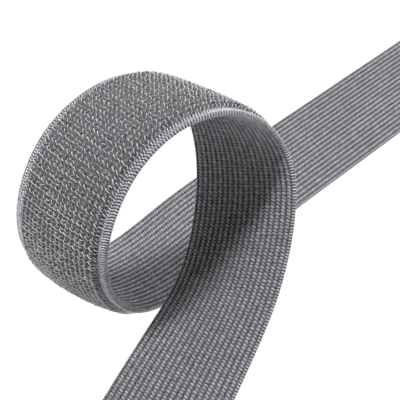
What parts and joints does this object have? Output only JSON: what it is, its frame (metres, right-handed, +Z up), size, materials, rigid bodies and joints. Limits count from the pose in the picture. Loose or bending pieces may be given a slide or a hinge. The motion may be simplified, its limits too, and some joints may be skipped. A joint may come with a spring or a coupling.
{
  "type": "looped length of loop-faced fastening tape",
  "caption": "Soft grey fastening tape lying flat at both ends and curled over itself into an upright open loop, ribbed inside and piled with small loops outside.",
  "frame": {"origin": "on the surface the tape lies on, under the middle of the flat back tail, between the tail's free end and the loop", "axes": "+X runs along the back tail to its free end, +Z is up, and the loop opens along Y"},
  "size_m": [0.2244, 0.0832, 0.0608],
  "materials": {
    "loop_pile_knit": "grey knitted polyamide tape: lengthwise ribs on one face, uncut loop pile on the other, stitched selvedges"
  },
  "bodies": {
    "root": {"tape": "loop_pile_knit"}
  },
  "joints": []
}
